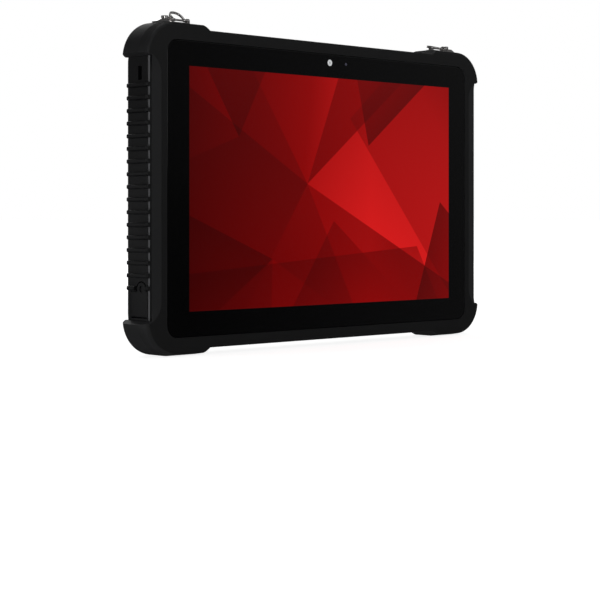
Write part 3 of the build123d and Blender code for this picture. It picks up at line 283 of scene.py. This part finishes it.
def screen_material(name, node):
    """Glass over a printed black border and a lit picture of red folded planes."""
    recipe = Recipe(name)
    low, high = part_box(node)
    middle = (low + high) / 2
    x, _, z = recipe.split()
    across = recipe.math("SUBTRACT", x, middle.x)
    up = recipe.math("SUBTRACT", z, middle.z)
    inside_x = recipe.math("LESS_THAN", recipe.math("ABSOLUTE", across), ACTIVE_WIDTH / 2)
    inside_z = recipe.math("LESS_THAN", recipe.math("ABSOLUTE", up), ACTIVE_HEIGHT / 2)
    lit = recipe.math("MULTIPLY", inside_x, inside_z)

    light = recipe.spread(across, -ACTIVE_WIDTH / 2, SCREEN_LIGHT_END, *SCREEN_LIGHT)
    for (tip_x, tip_z), first, last, reach, gain in FACETS:
        from_first = side_of(recipe, across, up, (tip_x, tip_z), first)
        from_last = side_of(recipe, across, up, (tip_x, tip_z), last)
        inside = recipe.math("MULTIPLY", recipe.math("GREATER_THAN", from_first, 0.0),
                             recipe.math("LESS_THAN", from_last, 0.0))
        fade = recipe.spread(from_first, 0.0, reach, 1.0, FACET_FADE)
        lift = recipe.math("MULTIPLY", recipe.math("MULTIPLY", fade, inside), gain)
        light = recipe.math("MULTIPLY", light, recipe.math("ADD", lift, 1.0))

    ramp = recipe.nodes.new("ShaderNodeValToRGB")
    stops = ramp.color_ramp.elements
    for position, _ in SCREEN_SHADES[1:-1]:
        stops.new(position)
    for stop, (position, colour) in zip(stops, SCREEN_SHADES):
        stop.position = position
        stop.color = colour
    recipe.feed(ramp.inputs["Fac"], light)
    picture = recipe.mix(lit, (0.0, 0.0, 0.0, 1.0), ramp.outputs["Color"])

    smudge = recipe.noise(38.0, 5.0)
    gloss = recipe.spread(smudge, 0.35, 0.75, 0.035, 0.12)
    ink = recipe.mix(recipe.noise(900.0, 1.0), *INK_SHADES)
    recipe.set(Base_Color=ink, Roughness=gloss, Specular_IOR_Level=0.45, Emission_Color=picture,
               Emission_Strength=SCREEN_GLOW, Normal=recipe.bump(recipe.noise(9.0, 1.0), 0.00002, 0.3))
    return recipe.material


def lens_material(name, node, core, rim, glow):
    """Round lens window seen from the front: a pale or dark core inside a darker rim; its glow is painted
    light.
    """
    recipe = Recipe(name)
    low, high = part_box(node)
    middle = (low + high) / 2
    reach = (high.x - low.x) / 2
    x, _, z = recipe.split()
    dx = recipe.math("SUBTRACT", x, middle.x)
    dz = recipe.math("SUBTRACT", z, middle.z)
    squares = recipe.math("ADD", recipe.math("MULTIPLY", dx, dx), recipe.math("MULTIPLY", dz, dz))
    radius = recipe.math("DIVIDE", recipe.math("SQRT", squares), reach)
    ring = recipe.spread(radius, 0.86, 0.94, 0.0, 1.0)
    pupil = recipe.spread(radius, 0.18, 0.42, 1.0, 0.0)
    tone = recipe.mix(pupil, core, shade(core, 0.55))
    tone = recipe.mix(ring, tone, rim)
    dust = recipe.noise(700.0, 3.0)
    # Emission glow is painted light: the window glows though it is no lamp; the rear camera window gets no
    # glow.
    recipe.set(Base_Color=tone, Roughness=recipe.spread(dust, 0.3, 0.8, 0.04, 0.16), Coat_Weight=1.0,
               Coat_Roughness=0.04, Emission_Color=tone, Emission_Strength=glow,
               Normal=recipe.bump(dust, 0.000004, 0.4))
    return recipe.material


def battery_material(name, node):
    """Battery shell: moulded grain with shallow ribs across the lower part of its outer face."""
    recipe = Recipe(name)
    low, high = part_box(node)
    height = high.z - low.z
    _, _, z = recipe.split()
    fine = recipe.noise(1500.0, 2.0)
    wave = recipe.math("SINE", recipe.math("MULTIPLY", z, 2.0 * math.pi / BATTERY_RIB_PITCH))
    zone = recipe.math("LESS_THAN", z, low.z + height * BATTERY_RIB_SHARE)
    ribs = recipe.math("MULTIPLY", recipe.math("MULTIPLY", wave, 0.5), zone)
    normal = recipe.bump(fine, 0.00004)
    normal = recipe.bump(ribs, BATTERY_RIB_HEIGHT, 0.8, over=normal)
    tone = recipe.mix(recipe.spread(fine, 0.35, 0.65, 0.0, 1.0), (0.0095, 0.0097, 0.0105, 1.0),
                      (0.016, 0.0165, 0.0175, 1.0))
    rubbed = recipe.math("MULTIPLY", recipe.edges(0.0007), 0.5)
    tone = recipe.mix(rubbed, tone, (0.05, 0.05, 0.053, 1.0))
    recipe.set(Base_Color=tone, Roughness=recipe.spread(recipe.noise(16.0, 4.0), 0.3, 0.7, 0.56, 0.44),
               Normal=normal)
    return recipe.material


def board_material(name):
    """Green solder mask with a fine pattern of tracks."""
    recipe = Recipe(name)
    cells = recipe.nodes.new("ShaderNodeTexVoronoi")
    cells.inputs["Scale"].default_value = 260.0
    recipe.links.new(recipe.place, cells.inputs["Vector"])
    track = recipe.spread(cells.outputs["Distance"], 0.25, 0.35, 0.0, 1.0)
    tone = recipe.mix(track, (0.012, 0.12, 0.05, 1.0), (0.02, 0.2, 0.09, 1.0))
    recipe.set(Base_Color=tone, Roughness=recipe.spread(recipe.noise(300.0), 0.3, 0.7, 0.25, 0.4),
               Normal=recipe.bump(track, 0.00003))
    return recipe.material


def make_materials():
    """One material for each slot of the record."""
    return {
        # bands=True paints the frame's sloped bands lighter and its flat face darker as painted light and
        # shade.
        "frame_plastic": moulded("frame_plastic", (0.0088, 0.0090, 0.0098), 0.50, 1700.0, 0.00003, wear=0.35,
                                 bands=True),
        "bumper_rubber": moulded("bumper_rubber", (0.0108, 0.0110, 0.0119), 0.56, 1300.0, 0.00004, wear=0.30),
        # rim=True paints a highlight along the strips' front chamfers.
        "grip_rubber": moulded("grip_rubber", (0.0047, 0.0048, 0.0054), 0.42, 1500.0, 0.00003, wear=0.45,
                               rim=True),
        "seal_rubber": moulded("seal_rubber", (0.006, 0.006, 0.006), 0.6, 1800.0, 0.00002),
        "screen_glass": screen_material("screen_glass", "cover_glass"),
        # The front camera window's glow is painted light.
        "lens_glass": lens_material("lens_glass", "front_camera_window", (0.62, 0.64, 0.65, 1.0),
                                    (0.01, 0.01, 0.012, 1.0), 0.30),
        "flash_plastic": moulded("flash_plastic", (0.80, 0.74, 0.48), 0.3, 900.0, 0.00003),
        "display_module": moulded("display_module", (0.05, 0.05, 0.055), 0.35, 1400.0, 0.00002),
        "alloy": metal("alloy", (0.62, 0.63, 0.65), 0.34, brush=(1.0, 1.0, 8.0)),
        "tin_plate": metal("tin_plate", (0.60, 0.61, 0.62), 0.30, brush=(6.0, 1.0, 1.0)),
        "circuit_board": board_material("circuit_board"),
        "ribbon": moulded("ribbon", (0.45, 0.22, 0.05), 0.35, 500.0, 0.00002),
        "ceramic": moulded("ceramic", (0.62, 0.55, 0.42), 0.4, 1200.0, 0.00003),
        "black_plastic": moulded("black_plastic", (0.0075, 0.0077, 0.0085), 0.42, 1600.0, 0.00003, wear=0.4),
        "battery_cell": metal("battery_cell", (0.32, 0.34, 0.37), 0.42),
        "gold_contact": metal("gold_contact", (0.83, 0.60, 0.24), 0.22, brush=(1.0, 5.0, 1.0)),
        "black_ring": metal("black_ring", (0.035, 0.035, 0.038), 0.32, brush=(1.0, 1.0, 3.0)),
        "dark_screw": metal("dark_screw", (0.11, 0.11, 0.115), 0.36),
        "bright_steel": metal("bright_steel", (0.80, 0.78, 0.77), 0.12),
    }


def dress_frame(materials):
    """Gives every CAD node its slot's material, with special ones for a few nodes."""
    special = {
        "battery_case": battery_material("battery_shell", "battery_case"),
        # The light sensor window's glow is painted light.
        "light_sensor_window": lens_material("sensor_lens", "light_sensor_window", (0.05, 0.05, 0.075, 1.0),
                                             (0.006, 0.006, 0.008, 1.0), 0.25),
        "rear_camera_window": lens_material("rear_lens", "rear_camera_window", (0.010, 0.012, 0.03, 1.0),
                                            (0.004, 0.004, 0.005, 1.0), 0.0),
    }
    for entry in frame["record"]["subparts"]:
        node = frame["nodes"][entry["node"]]
        chosen = special.get(entry["node"], materials[entry["material_slot"]])
        for holder in node.material_slots:
            holder.link = "OBJECT"
            holder.material = chosen


# ---- Studio -----------------------------------------------------------------------------------

def make_camera():
    data = bpy.data.cameras.new("camera")
    data.lens = CAMERA_LENS
    data.sensor_width = CAMERA_SENSOR
    data.shift_y = CAMERA_SHIFT_Y
    camera = bpy.data.objects.new("camera", data)
    camera.location = CAMERA_PLACE
    camera.rotation_euler = (math.radians(90.0), 0.0, math.radians(CAMERA_TURN))
    bpy.context.scene.collection.objects.link(camera)
    bpy.context.scene.camera = camera


def make_floor():
    """Large pale disc that the tablet stands on."""
    bpy.ops.mesh.primitive_circle_add(vertices=96, radius=FLOOR_RADIUS, fill_type="NGON")
    floor = bpy.context.object
    floor.name = "floor"
    recipe = Recipe("floor_paper")
    grain = recipe.noise(90.0, 4.0)
    tone = recipe.mix(grain, (0.86, 0.86, 0.86, 1.0), (0.90, 0.90, 0.90, 1.0))
    x, y, _ = recipe.split()
    squares = recipe.math("ADD", recipe.math("MULTIPLY", x, x), recipe.math("MULTIPLY", y, y))
    away = recipe.math("SQRT", squares)
    glow = recipe.spread(away, *FLOOR_GLOW_REACH, FLOOR_GLOW_NEAR, FLOOR_GLOW_FAR)
    recipe.set(Base_Color=tone, Roughness=0.9, Specular_IOR_Level=0.1, Emission_Color=(1.0, 1.0, 1.0, 1.0),
               Emission_Strength=glow, Normal=recipe.bump(grain, 0.0001, 0.2))
    floor.data.materials.append(recipe.material)
    floor.visible_glossy = False


def make_world():
    """White for the camera, and a dim room, brighter above and to the right, for everything else."""
    world = bpy.data.worlds.new("studio")
    bpy.context.scene.world = world
    world.use_nodes = True
    graph = Graph(world.node_tree)
    heading = graph.nodes.new("ShaderNodeTexCoord").outputs["Generated"]
    rightward, _, upward = graph.parts(heading)
    above = graph.spread(upward, *ROOM_RISE, ROOM_LOW, ROOM_LOW + ROOM_HIGH_LIFT)
    beside = graph.spread(rightward, *ROOM_TURN, 0.0, ROOM_RIGHT_LIFT)
    room = graph.nodes["Background"]
    room.inputs["Color"].default_value = (1.0, 1.0, 1.0, 1.0)
    graph.feed(room.inputs["Strength"], graph.math("ADD", above, beside))
    seen = graph.nodes.new("ShaderNodeBackground")
    seen.inputs["Color"].default_value = (*BACKDROP, 1.0)
    path = graph.nodes.new("ShaderNodeLightPath")
    choose = graph.nodes.new("ShaderNodeMixShader")
    graph.links.new(path.outputs["Is Camera Ray"], choose.inputs[0])
    graph.links.new(room.outputs[0], choose.inputs[1])
    graph.links.new(seen.outputs[0], choose.inputs[2])
    graph.links.new(choose.outputs[0], graph.nodes["World Output"].inputs["Surface"])


def area_light(name, place, target, width, power, height=None, beam=180.0):
    """Soft light at place, turned towards target: square, unless height is given; beam in degrees."""
    data = bpy.data.lights.new(name, "AREA")
    data.energy = power
    data.size = width
    data.spread = math.radians(beam)
    if height is not None:
        data.shape = "RECTANGLE"
        data.size_y = height
    light = bpy.data.objects.new(name, data)
    light.location = place
    aim = Vector(target) - Vector(place)
    light.rotation_euler = aim.to_track_quat("-Z", "Y").to_euler()
    bpy.context.scene.collection.objects.link(light)


def make_lights(low, high):
    """Soft lights around the tablet; the narrow one on the left reaches mostly the lower half of its side."""
    middle = (low + high) / 2
    low_left = (low.x, middle.y, low.z + LEFT_AIM * (high.z - low.z))
    area_light("overhead", (-0.1, 0.0, 1.6), middle, width=1.5, power=3.2)
    area_light("left_side", (-1.2, 0.35, 0.20), low_left, width=0.12, power=0.018, beam=14.0)
    area_light("front_fill", (0.3, -1.9, 0.7), middle, width=0.9, power=0.85)
    area_light("right_panel", (1.6, -1.5, 0.95), middle, width=0.7, height=0.5, power=0.7)
    area_light("edge_light", (-1.15, -1.3, 0.42), middle, width=0.22, height=0.5, power=1.5)
    area_light("right_side", (1.6, 0.6, 0.5), middle, width=0.8, power=2.0)
    area_light("back_rim", (0.6, 1.8, 0.8), middle, width=0.9, power=6.5)


# ---- Scene ------------------------------------------------------------------------------------

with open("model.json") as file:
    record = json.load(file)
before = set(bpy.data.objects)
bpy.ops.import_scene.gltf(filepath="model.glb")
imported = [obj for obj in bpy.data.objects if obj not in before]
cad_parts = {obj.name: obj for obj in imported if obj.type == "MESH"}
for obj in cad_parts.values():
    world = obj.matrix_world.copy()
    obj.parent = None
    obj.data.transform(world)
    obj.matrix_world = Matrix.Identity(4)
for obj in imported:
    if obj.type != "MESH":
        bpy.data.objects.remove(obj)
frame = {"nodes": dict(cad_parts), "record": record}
cad_low, cad_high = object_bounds()

make_camera()
make_world()
make_floor()
make_lights(cad_low, cad_high)
dress_frame(make_materials())

scene = bpy.context.scene
scene.view_settings.view_transform = "Standard"
scene.view_settings.look = "None"
